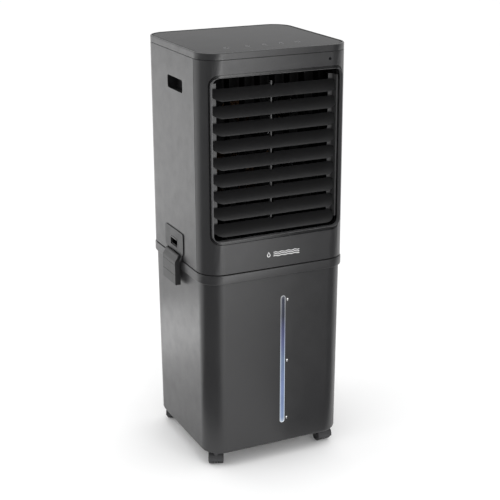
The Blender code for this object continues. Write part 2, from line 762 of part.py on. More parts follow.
def drain_plug():
    """The push-in plug of the drain, low on the back."""
    back = TANK_HALF_D - TANK_TAPER
    neck = DRAIN_R - 0.0005
    face = back + 0.0008
    profile = [(0, back - 0.010), (neck, back - 0.010), (neck, face), (0.0150, face),
               (0.0150, face + 0.003), (0.0135, face + 0.0045), (0, face + 0.0045)]
    bm = bmesh.new()
    add_lathe(bm, profile, 20, "Y", (DRAIN_X, DRAIN_Z))
    part("drain_plug", bm, "black_abs")


COVER_LOW_Z = 0.567
COVER_HIGH_Z = JOINT_Z - JOINT_GAP / 2


def latch_lugs():
    """The two round-topped ears on the left of the cover that the latch lever turns in."""
    bm = bmesh.new()
    ear = [(EAR_R, -0.0110)]
    for i in range(7):
        angle = math.radians(180 * i / 6)
        ear.append((EAR_R * math.cos(angle), EAR_R * math.sin(angle)))
    ear += [(-EAR_R, -0.0090), (-0.0052, -0.0112), (-0.0052, -0.0185)]
    outline = [(-LATCH_PIVOT_X - out, LATCH_PIVOT_Z + rise) for out, rise in ear]
    for dy in (-0.0365, 0.0305):
        add_prism(bm, outline, LATCH_Y + dy, LATCH_Y + dy + 0.006, "Y")
    return bm


def lug_bores(side):
    bm = bmesh.new()
    add_cylinder(bm, 0.0019, LATCH_Y - 0.042, LATCH_Y + 0.042, "Y", (side * LATCH_PIVOT_X, LATCH_PIVOT_Z), 12)
    return bm


def tank_cover():
    """The deck on the tank: its proud edge band, a central opening and the latch ears."""
    def plan(z, outset):
        outline = rounded(WIDTH / 2 + outset, DEPTH / 2 + outset, CORNER_R + outset)
        return [Vector((x, y, z)) for x, y in outline]
    rings = [plan(COVER_LOW_Z, COVER_PROUD - 0.001), plan(COVER_LOW_Z + 0.0015, COVER_PROUD),
             plan(COVER_HIGH_Z - 0.003, COVER_PROUD), plan(COVER_HIGH_Z, COVER_PROUD - 0.0018)]
    obj = part("tank_cover", stack(rings), "anthracite_abs")
    cut(obj, prism(rounded(TANK_HALF_W + 0.0006, TANK_HALF_D + 0.0006, CORNER_R - 0.0014), 0, TANK_TOP_Z + GAP))
    cut(obj, prism(rounded(0.206, 0.190, 0.040), 0, HEIGHT))
    join(obj, latch_lugs())
    join(obj, mirror_x(latch_lugs()))
    cut(obj, lug_bores(-1))
    cut(obj, lug_bores(1))


# ---------------------------------------------------------------- latches
STRAP_HALF_W = 0.0665
STRAP_THICK = 0.0022
STRAP_ARM = (0.0482, 0.0585)
STRAP_EYE_R = 0.0029
STRAP_BORE_R = 0.0017
STRAP_HOLE_HALF_W = 0.0250
STRAP_HIGH_Z = 0.675
STRAP_PANEL_Z = 0.6115
EAR_R = 0.0034
STRAP_HOLE_Z = (0.6240, 0.6496)


def latch_strap(side, name):
    """The flat strap with its window and the two arms that hang on the lever's stub pins."""
    face = WIDTH / 2 + 0.0006 - LATCH_PIVOT_X
    pin_z = LATCH_PIVOT_Z - LATCH_CRANK
    panel_low = STRAP_PANEL_Z - pin_z
    middle = (STRAP_HIGH_Z + STRAP_PANEL_Z) / 2 - pin_z
    panel = rounded(STRAP_HALF_W, (STRAP_HIGH_Z - STRAP_PANEL_Z) / 2, 0.008, 3, (0.0, middle))
    bm = prism(panel, side * face, side * (face + STRAP_THICK), "X")
    obj = part(name, bm, "anthracite_abs", (side * LATCH_PIVOT_X, LATCH_Y, pin_z))
    arm = [(face, panel_low + 0.012), (face, 0.0050)]
    for i in range(7):
        angle = math.radians(190 + 200 * i / 6)
        arm.append((STRAP_EYE_R * math.cos(angle), STRAP_EYE_R * math.sin(angle)))
    arm += [(face + STRAP_THICK, 0.0125), (face + STRAP_THICK, panel_low + 0.012)]
    outline = [(side * x, z) for x, z in arm]
    for low, high in (STRAP_ARM, (-STRAP_ARM[1], -STRAP_ARM[0])):
        join(obj, prism(outline, low, high, "Y"))
    low, high = STRAP_HOLE_Z
    window = rounded(STRAP_HOLE_HALF_W, (high - low) / 2, 0.003, 2, (0.0, (low + high) / 2 - pin_z))
    cut(obj, prism(window, -0.05, 0.05, "X"))
    cut(obj, cylinder(STRAP_BORE_R, -0.1, 0.1, "Y", (0, 0), 10))


def lever_outline():
    """Cross-section of the lever in (distance out from the pivot, height), with a round top."""
    foot = LEVER_LOW_Z - LATCH_PIVOT_Z
    back = 0.0035 - LATCH_PIVOT_X + WIDTH / 2
    points = [(back, foot), (LEVER_PROUD - 0.0015, foot), (LEVER_PROUD, foot + 0.0015)]
    for groove_z in LEVER_GROOVE_Z:
        z = groove_z - LATCH_PIVOT_Z
        points += [(LEVER_PROUD, z - 0.0009), (LEVER_PROUD - 0.0009, z), (LEVER_PROUD, z + 0.0009)]
    points += [(LEVER_PROUD, -0.0145), (LEVER_PROUD - 0.0010, -0.0115)]
    for i in range(7):
        angle = math.radians(-6 + 96 * i / 6)
        points.append((LEVER_BARREL_R * math.cos(angle), LEVER_BARREL_R * math.sin(angle)))
    points += [(-0.0012, LEVER_BARREL_R - 0.0001), (-0.0020, -0.010), (back, -0.016)]
    return points


def lever_hollow():
    """The room inside the lever: open towards the tank, round about the pivot at the top."""
    inner = 0.0038
    wall_x = LEVER_PROUD - LEVER_WALL
    foot = LEVER_LOW_Z - LATCH_PIVOT_Z + LEVER_WALL
    points = [(-0.02, foot), (wall_x, foot), (wall_x, -0.0155), (0.0046, -0.0060)]
    for i in range(6):
        angle = math.radians(110 * i / 5)
        points.append((inner * math.cos(angle), inner * math.sin(angle)))
    points.append((-0.02, points[-1][1]))
    return points


def latch_lever(side, name):
    """The over-centre lever, a shell open to the tank with ribs, stub pins and strap pin."""
    outline = [(side * x, z) for x, z in lever_outline()]
    bm = prism(outline, -LEVER_HALF_W, LEVER_HALF_W, "Y")
    obj = part(name, bm, "anthracite_abs", (side * LATCH_PIVOT_X, LATCH_Y, LATCH_PIVOT_Z))
    hollow = [(side * x, z) for x, z in lever_hollow()]
    cut(obj, prism(hollow, -LEVER_HALF_W + LEVER_WALL, LEVER_HALF_W - LEVER_WALL, "Y"))
    ribs = bmesh.new()
    for low, high in ((0.0380, 0.0400), (-0.0400, -0.0380)):
        rib = [(side * x, z) for x, z in ((LEVER_PROUD - 0.0012, -0.030), (LEVER_PROUD - 0.0012, -0.0145),
                                         (0.0048, 0.0012), (0.0016, 0.0030),
                                         (-0.0014, 0.0024), (-0.0020, -0.012), (0.0010, -0.030))]
        add_prism(ribs, rib, low, high, "Y")
    join(obj, ribs)
    pins = bmesh.new()
    for low, high in ((0.0298, 0.0390), (-0.0390, -0.0298)):
        add_cylinder(pins, 0.0015, low, high, "Y", (0, 0), 10)
    for low, high in ((0.0450, 0.0590), (-0.0590, -0.0450)):
        add_cylinder(pins, 0.0013, low, high, "Y", (0, -LATCH_CRANK), 10)
    join(obj, pins)


# ---------------------------------------------------------------- castors
def castor(key, at, turn):
    """Hood with web, neck and stem, turning on Z, and the wheel pair on its axle."""
    axle_z = WHEEL_R
    angle = math.radians(turn)
    arc = []
    for radius, order in ((0.0226, 1), (0.0206, -1)):
        sweep = [math.radians(-12 + 204 * i / 9) for i in range(10)]
        for a in sweep[::order]:
            arc.append((CASTOR_TRAIL + radius * math.cos(a), axle_z + radius * math.sin(a)))
    bm = prism([(y, z) for y, z in arc], -0.0220, 0.0220, "X")
    hood = part(f"castor_hood_{key}", bm, "castor_nylon", (*at, 0), (0, 0, angle))
    join(hood, cylinder(0.0215, -0.0036, 0.0036, "X", (CASTOR_TRAIL, axle_z + 0.0005), 16))
    cut(hood, box((-0.05, -0.05, -0.05), (0.05, 0.05, 0.006)))
    join(hood, cylinder(0.0095, 0.026, TANK_BOTTOM - 0.0006, "Z", (0, 0), 12))
    wheel_room = bmesh.new()
    for low, high in ((0.0036, 0.03), (-0.03, -0.0036)):
        add_cylinder(wheel_room, 0.0207, low, high, "X", (CASTOR_TRAIL, axle_z), 16)
    cut(hood, wheel_room)
    join(hood, cylinder(0.0050, 0.040, TANK_BOTTOM + 0.016, "Z", (0, 0), 10))
    cut(hood, cylinder(0.0029, -0.05, 0.05, "X", (CASTOR_TRAIL, axle_z), 10))
    half = WHEEL_HALF_W
    rim = WHEEL_R / math.cos(math.pi / WHEEL_STEPS)
    profile = [(0, -half), (rim - 0.0022, -half), (rim, -half + 0.0025), (rim, -0.0042), (0.0023, -0.0042)]
    profile += [(r, -a) for r, a in reversed(profile)]
    centre = Matrix.Rotation(angle, 3, "Z") @ Vector((0, CASTOR_TRAIL, 0))
    spot = (at[0] + centre.x, at[1] + centre.y, axle_z)
    part(f"castor_wheels_{key}", lathe(profile, WHEEL_STEPS, "X"), "castor_nylon", spot, (0, 0, angle))


# ---------------------------------------------------------------- assembly
def build():
    clear_scene()
    for make in (front_bezel, housing_shell, grip_cups, top_cap, control_glass, control_board,
                 ir_receiver, chassis_floor, outlet_frame, louvre_rails, slats, slat_link, vanes,
                 vane_link, fan_shroud, fan_wheel, fan_motor, motor_bracket, rear_grille,
                 dust_filter, cooling_pad, pad_frame, distribution_tray, pump, riser_hose,
                 cord_gland, tank, level_window, level_light, drain_plug, tank_cover):
        make()
    for side, word in ((-1, "left"), (1, "right")):
        latch_strap(side, f"latch_strap_{word}")
        latch_lever(side, f"latch_lever_{word}")
    for key, at in castor_places().items():
        castor(key, at, CASTOR_TURNS[key])


build()
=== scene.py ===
"""Looks of a tower evaporative cooler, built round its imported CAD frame.

Metres, +Z up, the air outlet faces -Y. Most CAD nodes keep their shapes and get eased edges and
full finishes. The wet pad, the dust filter, the gauge strip with its light, and the castor wheels
are modelled again in full detail, and small fittings and printed marks are added.
"""
import json
import math

import bmesh
import bpy
from mathutils import Matrix, Vector


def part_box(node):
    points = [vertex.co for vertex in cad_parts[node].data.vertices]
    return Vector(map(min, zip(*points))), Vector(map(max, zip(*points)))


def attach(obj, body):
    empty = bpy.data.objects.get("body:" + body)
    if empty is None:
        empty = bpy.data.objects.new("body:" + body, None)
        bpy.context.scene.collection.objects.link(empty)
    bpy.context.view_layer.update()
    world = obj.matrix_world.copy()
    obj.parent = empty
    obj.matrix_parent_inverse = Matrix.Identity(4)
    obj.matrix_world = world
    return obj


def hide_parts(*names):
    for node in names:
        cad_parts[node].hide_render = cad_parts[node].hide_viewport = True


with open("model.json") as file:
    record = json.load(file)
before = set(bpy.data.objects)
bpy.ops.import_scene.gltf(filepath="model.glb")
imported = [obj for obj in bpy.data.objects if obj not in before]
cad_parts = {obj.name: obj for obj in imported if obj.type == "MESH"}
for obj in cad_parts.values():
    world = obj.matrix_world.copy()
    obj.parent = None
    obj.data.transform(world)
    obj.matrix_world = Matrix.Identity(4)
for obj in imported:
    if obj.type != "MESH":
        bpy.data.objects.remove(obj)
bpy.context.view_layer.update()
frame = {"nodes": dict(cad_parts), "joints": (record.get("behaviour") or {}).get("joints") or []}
NODES = frame["nodes"]

# ---------------------------------------------------------------- places and sizes
TOP_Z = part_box("control_glass")[1].z
FRONT_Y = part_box("front_bezel")[0].y
BACK_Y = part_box("rear_grille")[1].y
TANK_LOW_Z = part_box("tank")[0].z
TANK_HIGH_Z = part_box("tank")[1].z
TANK_FRONT_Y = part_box("tank")[0].y
TANK_LEAN = 0.0035
PRINT_THICK = 0.00012
WELD_WITHIN = 0.00002
SMOOTH_BELOW = math.radians(35)
EASE_ABOVE = math.radians(32)


# ---------------------------------------------------------------- node helpers
def new_material(name, roughness, metallic=0.0, **sockets):
    """A Principled material, its tree and its shader; sockets such as IOR=1.5 are set on the shader."""
    made = bpy.data.materials.new(name)
    made.use_nodes = True
    shader = made.node_tree.nodes["Principled BSDF"]
    shader.inputs["Roughness"].default_value = roughness
    shader.inputs["Metallic"].default_value = metallic
    for key, value in sockets.items():
        shader.inputs[key.replace("_", " ")].default_value = value
    return made, made.node_tree, shader


def coordinates(tree, stretch=(1, 1, 1)):
    """Object coordinates in metres, stretched along each axis."""
    source = tree.nodes.new("ShaderNodeTexCoord")
    mapping = tree.nodes.new("ShaderNodeMapping")
    mapping.inputs["Scale"].default_value = stretch
    tree.links.new(source.outputs["Object"], mapping.inputs["Vector"])
    return mapping.outputs["Vector"]


def noise(tree, vector, scale, detail=2.0, roughness=0.5):
    """A noise signal from 0 to 1, mostly between 0.3 and 0.7."""
    node = tree.nodes.new("ShaderNodeTexNoise")
    node.inputs["Scale"].default_value = scale
    node.inputs["Detail"].default_value = detail
    node.inputs["Roughness"].default_value = roughness
    tree.links.new(vector, node.inputs["Vector"])
    return node.outputs["Fac"]


def spread(tree, value, low, high):
    """The value's range 0.3 to 0.7 mapped to low to high."""
    node = tree.nodes.new("ShaderNodeMapRange")
    node.inputs["From Min"].default_value = 0.3
    node.inputs["From Max"].default_value = 0.7
    node.inputs["To Min"].default_value = low
    node.inputs["To Max"].default_value = high
    tree.links.new(value, node.inputs["Value"])
    return node.outputs["Result"]


def ramp(tree, value, stops):
    """A colour ramp through (position, grey or colour) stops."""
    node = tree.nodes.new("ShaderNodeValToRGB")
    elements = node.color_ramp.elements
    while len(elements) < len(stops):
        elements.new(0.5)
    for element, (position, colour) in zip(elements, stops):
        element.position = position
        if isinstance(colour, float):
            colour = (colour, colour, colour)
        element.color = (*colour, 1.0)
    tree.links.new(value, node.inputs["Fac"])
    return node.outputs["Color"]


def mixed(tree, fac, first, second):
    """A colour between two, by fac; each is a socket or a plain colour."""
    node = tree.nodes.new("ShaderNodeMix")
    node.data_type = "RGBA"
    tree.links.new(fac, node.inputs["Factor"])
    for socket, value in (("A", first), ("B", second)):
        target = [i for i in node.inputs if i.name == socket and i.type == "RGBA"][0]
        if isinstance(value, tuple):
            target.default_value = (*value, 1.0)
        else:
            tree.links.new(value, target)
    return [o for o in node.outputs if o.type == "RGBA"][0]


def bump(tree, shader, height, distance, strength, after=None):
    """Surface relief from a height signal, added to an earlier relief if one is given."""
    node = tree.nodes.new("ShaderNodeBump")
    node.inputs["Strength"].default_value = strength
    node.inputs["Distance"].default_value = distance
    tree.links.new(height, node.inputs["Height"])
    if after is not None:
        tree.links.new(after, node.inputs["Normal"])
    tree.links.new(node.outputs["Normal"], shader.inputs["Normal"])
    return node.outputs["Normal"]


# ---------------------------------------------------------------- finishes
def moulded(name, colour, roughness, grain=0.0006, relief=0.00004, **sockets):
    """Moulded plastic: spark-eroded grain, slow flow waves, and smudges in colour and gloss."""
    made, tree, shader = new_material(name, roughness, **sockets)
    place = coordinates(tree)
    patches = noise(tree, place, 9.0, 4.0, 0.6)
    darker = tuple(0.90 * c for c in colour)
    lighter = tuple(1.10 * c for c in colour)
    tree.links.new(mixed(tree, patches, darker, lighter), shader.inputs["Base Color"])
    handled = noise(tree, place, 23.0, 5.0, 0.65)
    gloss = spread(tree, handled, roughness - 0.035, roughness + 0.045)
    tree.links.new(gloss, shader.inputs["Roughness"])
    waves = bump(tree, shader, noise(tree, place, 6.0, 1.0), 0.0006, 0.25)
    bump(tree, shader, noise(tree, place, 1 / grain, 2.0, 0.7), relief, 0.6, waves)
    return made


def polished_panel():
    """Hard-coated black panel: a faint haze of wiping marks in the gloss and slight ripple."""
    made, tree, shader = new_material("gloss_panel_black", 0.10, IOR=1.05)
    place = coordinates(tree)
    wiped = noise(tree, coordinates(tree, (3.0, 14.0, 3.0)), 6.0, 5.0, 0.6)
    tree.links.new(spread(tree, wiped, 0.13, 0.18), shader.inputs["Roughness"])
    tint = mixed(tree, noise(tree, place, 7.0, 3.0), (0.006, 0.006, 0.007), (0.010, 0.010, 0.011))
    tree.links.new(tint, shader.inputs["Base Color"])
    bump(tree, shader, noise(tree, place, 700.0, 2.0), 0.00001, 0.3)
    return made


def brushed(name, colour, roughness, along):
    """Sheet steel with fine scratches along one direction and dull patches."""
    made, tree, shader = new_material(name, roughness, 1.0)
    scratches = noise(tree, coordinates(tree, along), 900.0, 4.0, 0.7)
    patches = noise(tree, coordinates(tree), 20.0, 4.0, 0.6)
    darker = tuple(0.75 * c for c in colour)
    tree.links.new(mixed(tree, patches, darker, colour), shader.inputs["Base Color"])
    tree.links.new(spread(tree, scratches, roughness - 0.08, roughness + 0.12), shader.inputs["Roughness"])
    bump(tree, shader, scratches, 0.00003, 0.5)
    return made


def wet_paper():
    """Brown cellulose paper: fibres, and darker wet streaks that run down."""
    made, tree, shader = new_material("cellulose_pad_paper", 0.85, Specular_IOR_Level=0.25)
    place = coordinates(tree)
    streaks = noise(tree, coordinates(tree, (40.0, 12.0, 4.0)), 1.5, 4.0, 0.6)
    paper = ramp(tree, streaks, [(0.30, (0.060, 0.032, 0.015)), (0.52, (0.140, 0.080, 0.038)),
                                 (0.75, (0.230, 0.150, 0.082))])
    tree.links.new(paper, shader.inputs["Base Color"])
    fibres = noise(tree, place, 1400.0, 4.0, 0.75)
    tree.links.new(spread(tree, streaks, 0.60, 0.92), shader.inputs["Roughness"])
    bump(tree, shader, fibres, 0.0002, 0.7)
    return made


def woven_nylon():
    """Black nylon thread with dust caught on it."""
    made, tree, shader = new_material("filter_mesh_nylon", 0.6, Sheen_Weight=0.15)
    place = coordinates(tree)
    dust = noise(tree, place, 60.0, 5.0, 0.7)
    tree.links.new(mixed(tree, spread(tree, dust, 0.0, 0.7), (0.012, 0.012, 0.013), (0.060, 0.057, 0.052)),
                   shader.inputs["Base Color"])
    tree.links.new(spread(tree, dust, 0.45, 0.75), shader.inputs["Roughness"])
    bump(tree, shader, noise(tree, place, 2500.0, 2.0), 0.00008, 0.5)
    return made


def hose_plastic():
    """Clear PVC with a milky bloom and moulding rings."""
    made, tree, shader = new_material("pvc_hose_clear", 0.22, Transmission_Weight=0.55, IOR=1.45)
    place = coordinates(tree)
    bloom = noise(tree, place, 45.0, 4.0, 0.6)
    tree.links.new(mixed(tree, bloom, (0.62, 0.66, 0.68), (0.82, 0.85, 0.87)), shader.inputs["Base Color"])
    tree.links.new(spread(tree, bloom, 0.15, 0.35), shader.inputs["Roughness"])
    bump(tree, shader, noise(tree, coordinates(tree, (1.0, 1.0, 9.0)), 60.0, 2.0), 0.0003, 0.3)
    return made


def board_lacquer():
    """Green solder mask over a maze of copper tracks."""
    made, tree, shader = new_material("circuit_board_mask", 0.35)
    shader.inputs["Coat Weight"].default_value = 0.3
    place = coordinates(tree)
    brick = tree.nodes.new("ShaderNodeTexBrick")
    brick.inputs["Scale"].default_value = 120.0
    brick.inputs["Mortar Size"].default_value = 0.06
    brick.inputs["Color1"].default_value = (0.010, 0.080, 0.030, 1)
    brick.inputs["Color2"].default_value = (0.014, 0.110, 0.042, 1)
    brick.inputs["Mortar"].default_value = (0.050, 0.230, 0.080, 1)
    tree.links.new(place, brick.inputs["Vector"])
    tree.links.new(brick.outputs["Color"], shader.inputs["Base Color"])
    tree.links.new(spread(tree, noise(tree, place, 80.0, 3.0), 0.28, 0.42), shader.inputs["Roughness"])
    bump(tree, shader, brick.outputs["Fac"], 0.00004, 0.8)
    return made


def printed(name, colour, strength):
    """Pad-printed ink, slightly uneven, with a little glow where a lamp shines through it."""
    made, tree, shader = new_material(name, 0.5)
    place = coordinates(tree)
    ink = mixed(tree, noise(tree, place, 500.0, 3.0), tuple(0.85 * c for c in colour), colour)
    tree.links.new(ink, shader.inputs["Base Color"])
    tree.links.new(ink, shader.inputs["Emission Color"])
    shader.inputs["Emission Strength"].default_value = strength
    bump(tree, shader, noise(tree, place, 900.0, 2.0), 0.00003, 0.4)
    return made


def gauge_height(tree):
    """How far up the gauge window a point lies, from 0 at its foot to 1 at its head."""
    low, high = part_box("level_window")
    split = tree.nodes.new("ShaderNodeSeparateXYZ")
    tree.links.new(coordinates(tree), split.inputs["Vector"])
    height = tree.nodes.new("ShaderNodeMapRange")
    height.inputs["From Min"].default_value = low.z
    height.inputs["From Max"].default_value = high.z
    tree.links.new(split.outputs["Z"], height.inputs["Value"])
    return height.outputs["Result"]


def lit_acrylic():
    """Clear gauge strip over the lamp: dark above the water, blue below, pale where it is deep."""
    made, tree, shader = new_material("clear_window_lit", 0.16, IOR=1.49)
    shader.inputs["Coat Weight"].default_value = 0.6
    shader.inputs["Coat Roughness"].default_value = 0.08
    glow = ramp(tree, gauge_height(tree), [
        (0.00, (0.60, 0.70, 0.80)), (0.04, (0.26, 0.35, 0.56)), (0.30, (0.22, 0.28, 0.50)),
        (0.50, (0.20, 0.27, 0.40)), (0.62, (0.13, 0.15, 0.29)), (0.74, (0.075, 0.080, 0.17)),
        (0.84, (0.030, 0.032, 0.040)), (0.97, (0.035, 0.037, 0.042)), (1.00, (0.16, 0.16, 0.17))])
    soft = noise(tree, coordinates(tree, (1, 1, 0.3)), 90.0, 3.0)
    tree.links.new(mixed(tree, spread(tree, soft, 0.0, 0.25), glow, (0.05, 0.06, 0.12)),
                   shader.inputs["Emission Color"])
    shader.inputs["Emission Strength"].default_value = 0.85
    tint = mixed(tree, soft, (0.010, 0.012, 0.018), (0.020, 0.022, 0.030))
    tree.links.new(tint, shader.inputs["Base Color"])
    bump(tree, shader, soft, 0.0002, 0.25)
    return made


def edge_acrylic():
    """The strip's bevelled rim, which gathers the lamp's light."""
    made, tree, shader = new_material("clear_window_rim", 0.12, IOR=1.49)
    glow = ramp(tree, gauge_height(tree), [
        (0.00, (0.95, 0.97, 1.00)), (0.05, (0.66, 0.75, 0.85)), (0.50, (0.55, 0.64, 0.76)),
        (0.72, (0.34, 0.36, 0.50)), (0.88, (0.30, 0.31, 0.31)), (1.00, (0.62, 0.62, 0.62))])
    flecks = noise(tree, coordinates(tree), 260.0, 3.0)
    tree.links.new(mixed(tree, spread(tree, flecks, 0.0, 0.3), glow, (0.35, 0.38, 0.42)),
                   shader.inputs["Emission Color"])
    shader.inputs["Emission Strength"].default_value = 0.8
    tree.links.new(mixed(tree, flecks, (0.10, 0.11, 0.13), (0.14, 0.15, 0.17)), shader.inputs["Base Color"])
    bump(tree, shader, flecks, 0.00005, 0.3)
    return made


FINISH = {
    "abs": moulded("anthracite_abs_grained", (0.023, 0.023, 0.024), 0.33),
    "lever": moulded("anthracite_abs_lever", (0.016, 0.016, 0.017), 0.45, 0.0008, 0.00006),
    "duct": moulded("black_abs_duct", (0.0090, 0.0090, 0.0095), 0.24, 0.0005, 0.00002),
    "slat": moulded("black_abs_slat", (0.0160, 0.0160, 0.0165), 0.36, 0.0005, 0.00002),
    # Near black with little sheen: painted shade for the parts deep in the duct and for the dark ring
    # inside the panel's lip.
    "vane": moulded("vane_abs_painted_shade", (0.0030, 0.0030, 0.0032), 0.75, 0.0005, 0.00002,
                    Specular_IOR_Level=0.10),
    # The sleeve is much lighter than the bezel's plastic: painted light on the lit inner wall of the
    # outlet.
    "sleeve": moulded("sleeve_abs_painted_light", (0.085, 0.085, 0.087), 0.30, 0.0005, 0.00002),
    # The rails and slat links are grey, lighter than the black slats: painted light where they catch the
    # lamps between the slats.
    "link": moulded("link_abs_painted_light", (0.060, 0.060, 0.061), 0.42, 0.0005, 0.00002),
    "inner": moulded("black_abs_inner", (0.012, 0.012, 0.013), 0.52, 0.0008, 0.00006),
    "nylon": moulded("castor_nylon_hood", (0.030, 0.030, 0.032), 0.46, 0.0009, 0.00006),
    "tread": moulded("castor_nylon_tread", (0.020, 0.020, 0.021), 0.62, 0.0011, 0.00009),
    "glass": polished_panel(),
    "steel": brushed("steel_zinc_plated", (0.58, 0.58, 0.60), 0.34, (1, 1, 12)),
    "screw": brushed("steel_screw_black", (0.10, 0.10, 0.105), 0.38, (4, 4, 4)),
    "paper": wet_paper(),
    "mesh": woven_nylon(),
    "hose": hose_plastic(),
    "board": board_lacquer(),
    "ink": printed("print_pale_grey", (0.62, 0.62, 0.63), 0.0),
    "icon": printed("print_touch_grey", (0.30, 0.30, 0.31), 0.05),
    "mark": printed("print_white", (0.80, 0.80, 0.80), 0.0),
    "lit": lit_acrylic(),
    "rim": edge_acrylic(),
}


# ---------------------------------------------------------------- mesh helpers
def turned(axis, u, v, w):
    """A point from two outline coordinates and its height along the axis."""
    return Vector({"Z": (u, v, w), "Y": (u, w, v), "X": (w, u, v)}[axis])


def bridge(bm, rings, close=False):
    """Faces between neighbouring rings of as many vertices."""
    pairs = list(zip(rings, rings[1:]))
    if close:
        pairs.append((rings[-1], rings[0]))
    for a, b in pairs:
        for i in range(len(a)):
            j = (i + 1) % len(a)
            bm.faces.new((a[i], a[j], b[j], b[i]))


def add_prism(bm, outline, low, high, axis="Z"):
    """A solid between two copies of an outline along the axis."""
    rings = [[bm.verts.new(turned(axis, u, v, w)) for u, v in outline] for w in (low, high)]
    bm.faces.new(list(reversed(rings[0])))
    bm.faces.new(rings[1])
    bridge(bm, rings)


def add_frame(bm, outer, inner, low, high, axis="Z"):
    """A solid frame between an outer and an inner outline with as many points."""
    rings = [[bm.verts.new(turned(axis, u, v, w)) for u, v in line]
             for line, w in ((outer, low), (outer, high), (inner, high), (inner, low))]
    bridge(bm, rings, close=True)


def add_lathe(bm, profile, steps, spin, at):
    """A closed (radius, height) profile turned round the direction spin at a point."""
    spin = Vector(spin).normalized()
    side = spin.orthogonal().normalized()
    other = spin.cross(side)
    rings = []
    for radius, height in profile:
        middle = Vector(at) + spin * height
        if radius == 0:
            rings.append([bm.verts.new(middle)])
            continue
        ring = []
        for i in range(steps):
            angle = 2 * math.pi * i / steps
            ring.append(bm.verts.new(middle + radius * (math.cos(angle) * side + math.sin(angle) * other)))
        rings.append(ring)
    for a, b in zip(rings, rings[1:]):
        for i in range(steps):
            j = (i + 1) % steps
            corners = [a[i % len(a)], a[j % len(a)], b[j % len(b)], b[i % len(b)]]
            unique = list(dict.fromkeys(corners))
            if len(unique) > 2:
                bm.faces.new(unique)


def add_stroke(bm, line, width, low, high, axis, closed=False):
    """A thin printed line of some width along a path, mitred at its points."""
    count = len(line)
    left, right = [], []
    for i, point in enumerate(line):
        before = line[i - 1] if closed or i else line[0]
        after = line[(i + 1) % count] if closed or i < count - 1 else line[-1]
        along = Vector((after[0] - before[0], after[1] - before[1])).normalized()
        across = Vector((-along.y, along.x)) * width / 2
        left.append((point[0] + across.x, point[1] + across.y))
        right.append((point[0] - across.x, point[1] - across.y))
    if closed:
        add_frame(bm, left, right, low, high, axis)
    else:
        add_prism(bm, left + right[::-1], low, high, axis)


def rounded(half_w, half_h, radius, steps, centre=(0.0, 0.0)):
    """A rectangle with round corners, anticlockwise."""
    points = []
    for corner, (sx, sy) in enumerate(((1, 1), (-1, 1), (-1, -1), (1, -1))):
        for i in range(steps + 1):
            angle = math.radians(90 * corner + 90 * i / steps)
            points.append((centre[0] + sx * (half_w - radius) + radius * math.cos(angle),
                           centre[1] + sy * (half_h - radius) + radius * math.sin(angle)))
    return points


def arc(centre, radius, start, end, steps):
    """Points on an arc, in degrees."""
    sweep = [math.radians(start + (end - start) * i / steps) for i in range(steps + 1)]
    return [(centre[0] + radius * math.cos(a), centre[1] + radius * math.sin(a)) for a in sweep]


def mesh_object(name, bm, material):
    """An object in the scene made from a finished mesh, with one material."""
    mesh = bpy.data.meshes.new(name)
    bm.to_mesh(mesh)
    bm.free()
    mesh.materials.append(material)
    obj = bpy.data.objects.new(name, mesh)
    bpy.context.scene.collection.objects.link(obj)
    return obj


def piece(name, bm, finish, body="root"):
    """A visual piece from a mesh: faces out, smooth by angle, on its body and material slot."""
    bmesh.ops.recalc_face_normals(bm, faces=bm.faces)
    obj = mesh_object(name, bm, FINISH[finish])
    obj.data.shade_smooth()
    obj.data.set_sharp_from_angle(angle=SMOOTH_BELOW)
    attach(obj, body)
    return obj


def ease(obj, width):
    """Round the sharp edges of an object and let its normals follow the larger faces."""
    bevel = obj.modifiers.new("eased_edges", "BEVEL")
    bevel.width = width
    bevel.segments = 2
    bevel.limit_method = "ANGLE"
    bevel.angle_limit = EASE_ABOVE
    bevel.miter_outer = "MITER_ARC"
    normals = obj.modifiers.new("normals", "WEIGHTED_NORMAL")
    normals.keep_sharp = True
    normals.weight = 60


# ---------------------------------------------------------------- CAD nodes
# The start of a node's name, its finish, and how wide its edges are eased.
CAD_FINISH = {
    "front_bezel": ("abs", 0.0005), "housing_shell": ("abs", 0.0005), "top_cap": ("abs", 0.0004),
    "tank": ("abs", 0.0007), "tank_cover": ("abs", 0.0005), "latch_strap": ("lever", 0.0004),
    "latch_lever": ("lever", 0.0004), "control_glass": ("glass", 0.0004),
    "ir_receiver": ("glass", 0.0004), "outlet_frame": ("duct", 0.0014),
    "louvre_rail": ("link", 0.0004), "slat_link": ("link", 0.0003),
    "slat": ("slat", 0.0007), "vane_link": ("vane", 0.0003), "vane": ("vane", 0.0004),
    "grip_cup": ("inner", 0.0006), "chassis_floor": ("inner", 0.0005), "fan_shroud": ("vane", 0.0006),
    "fan_wheel": ("vane", 0.0004), "fan_motor": ("steel", 0.0006), "motor_bracket": ("steel", 0.0004),
    "rear_grille": ("inner", 0.0006), "pad_frame": ("inner", 0.0006),
    "distribution_tray": ("inner", 0.0005), "pump": ("inner", 0.0012),
    "riser_hose": ("hose", 0.0), "cord_gland": ("inner", 0.0005),
    "control_board": ("board", 0.0002), "drain_plug": ("inner", 0.0006),
    "castor_hood": ("nylon", 0.0006),
}


def dress_cad():
    """Give every CAD node its finish, weld its facets together and ease its edges."""
    for node, obj in NODES.items():
        key = max((k for k in CAD_FINISH if node.startswith(k)), key=len, default=None)
        if key is None:
            continue
        finish, width = CAD_FINISH[key]
        obj.data.materials.clear()
        obj.data.materials.append(FINISH[finish])
        for polygon in obj.data.polygons:
            polygon.material_index = 0
            polygon.use_smooth = True
        weld = obj.modifiers.new("weld", "WELD")
        weld.merge_threshold = WELD_WITHIN
        if width:
            ease(obj, width)


# ---------------------------------------------------------------- control panel
ICON_SIZE = 0.0062
ICON_LINE = 0.0009
FINE_LINE = 0.0008
MARKER_HALF_W = 0.0035
MARKER_HALF_H = 0.0004
MARKER_BELOW = 0.0145
PANEL_PRINT_Z = (TOP_Z - 0.00002, TOP_Z + PRINT_THICK)


